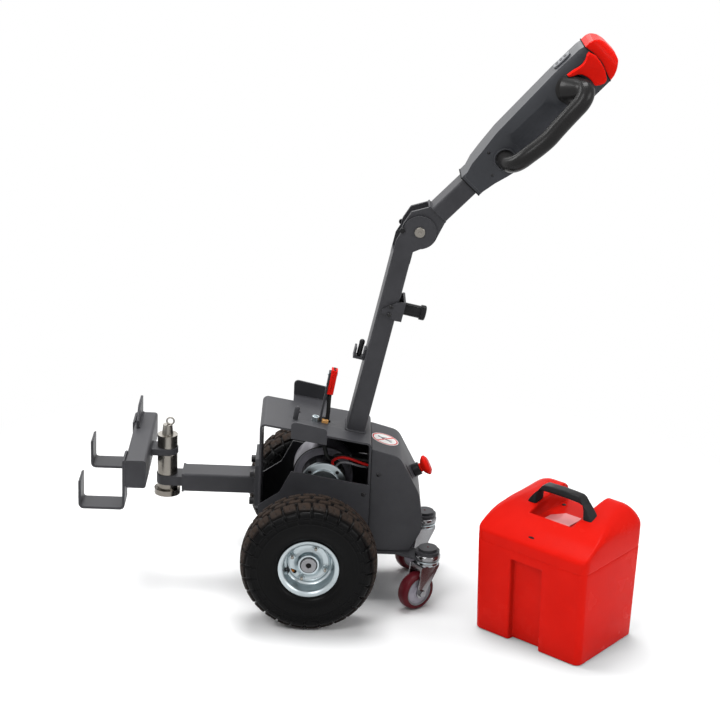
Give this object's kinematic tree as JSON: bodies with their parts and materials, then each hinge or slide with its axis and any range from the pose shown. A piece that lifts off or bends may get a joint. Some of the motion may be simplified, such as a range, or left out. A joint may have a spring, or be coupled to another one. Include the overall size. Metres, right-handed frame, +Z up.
{
  "type": "walk-behind electric tug",
  "caption": "Pedestrian electric tug with folding tiller, swinging hook coupler, pneumatic drive wheels, swivel casters and a lift-off battery pack standing beside it.",
  "frame": {"origin": "middle of the footprint of the tug and its battery pack, at floor level", "axes": "+Z up, -X ahead to the hitch, +X behind to the tiller head, +Y to the side away from the battery pack"},
  "size_m": [1.0606, 0.551, 1.11],
  "materials": {
    "powder": "satin",
    "pin_steel": "satin",
    "zinc": "satin",
    "chromed": "gloss",
    "cast": "matte",
    "black_plastic": "matte",
    "head_plastic": "satin",
    "red_plastic": "gloss",
    "tyre": "matte",
    "caster_tread": "satin"
  },
  "bodies": {
    "tug_chassis": {"chassis_frame": "powder", "side_panel_near": "powder", "side_panel_far": "powder", "base_plate": "powder", "control_cover": "powder", "stop_collar": "black_plastic", "stop_head": "red_plastic", "drawbar": "powder", "hitch_pin": "pin_steel", "hitch_spacer": "pin_steel", "gearbox": "cast", "motor": "cast", "axle": "pin_steel", "connector_post": "powder", "connector_block": "red_plastic", "column": "powder", "rest_bracket": "powder", "rest_buffer": "black_plastic", "latch_bracket": "powder", "latch_pin": "black_plastic", "pivot_pin": "pin_steel"},
    "coupler": {"coupler_lug": "powder", "cross_bar": "powder", "hook_near": "powder", "hook_far": "powder", "guide_plate": "powder"},
    "tiller": {"arm": "powder", "control_head": "head_plastic", "head_pad": "head_plastic", "nose_button": "red_plastic", "throttle_near": "red_plastic", "throttle_far": "red_plastic", "handle_near": "black_plastic", "handle_far": "black_plastic"},
    "drive_wheel_near": {"tyre_near": "tyre", "rim_near": "zinc"},
    "drive_wheel_far": {"tyre_far": "tyre", "rim_far": "zinc"},
    "swivel_near": {"caster_fork_near": "chromed"},
    "roller_near": {"caster_wheel_near": "caster_tread"},
    "swivel_far": {"caster_fork_far": "chromed"},
    "roller_far": {"caster_wheel_far": "caster_tread"},
    "battery_pack": {"battery_case": "red_plastic", "battery_lid": "red_plastic", "battery_handle": "black_plastic"}
  },
  "joints": [
    {"name": "drive_wheel_near_spin", "type": "hinge", "parent": "tug_chassis", "child": "drive_wheel_near", "pos_m": [-0.08926, -0.12903, 0.13], "axis": [0, 1, 0], "continuous": true},
    {"name": "drive_wheel_far_spin", "type": "hinge", "parent": "tug_chassis", "child": "drive_wheel_far", "pos_m": [-0.08926, 0.23297, 0.13], "axis": [0, 1, 0], "continuous": true},
    {"name": "caster_near_swivel", "type": "hinge", "parent": "tug_chassis", "child": "swivel_near", "pos_m": [0.14024, -0.03403, 0.095], "axis": [0, 0, 1], "continuous": true},
    {"name": "caster_far_swivel", "type": "hinge", "parent": "tug_chassis", "child": "swivel_far", "pos_m": [0.14024, 0.13797, 0.095], "axis": [0, 0, 1], "continuous": true},
    {"name": "caster_near_roll", "type": "hinge", "parent": "swivel_near", "child": "roller_near", "pos_m": [0.11975, -0.05004, 0.0375], "axis": [-0.6157, 0.788, 0], "continuous": true},
    {"name": "caster_far_roll", "type": "hinge", "parent": "swivel_far", "child": "roller_far", "pos_m": [0.11869, 0.12343, 0.0375], "axis": [-0.5592, 0.829, 0], "continuous": true},
    {"name": "tiller_fold", "type": "hinge", "parent": "tug_chassis", "child": "tiller", "pos_m": [0.09526, 0.05197, 0.73784], "axis": [0, 1, 0], "range_deg": [-31, 116]},
    {"name": "coupler_swing", "type": "hinge", "parent": "tug_chassis", "child": "coupler", "pos_m": [-0.37176, 0.05197, 0.2735], "axis": [0, 0, 1], "range_deg": [-50, 50]},
    {"name": "battery_lift", "type": "slide", "parent": "tug_chassis", "child": "battery_pack", "axis": [0, 0, 1], "range_m": [0, 0.45]}
  ]
}
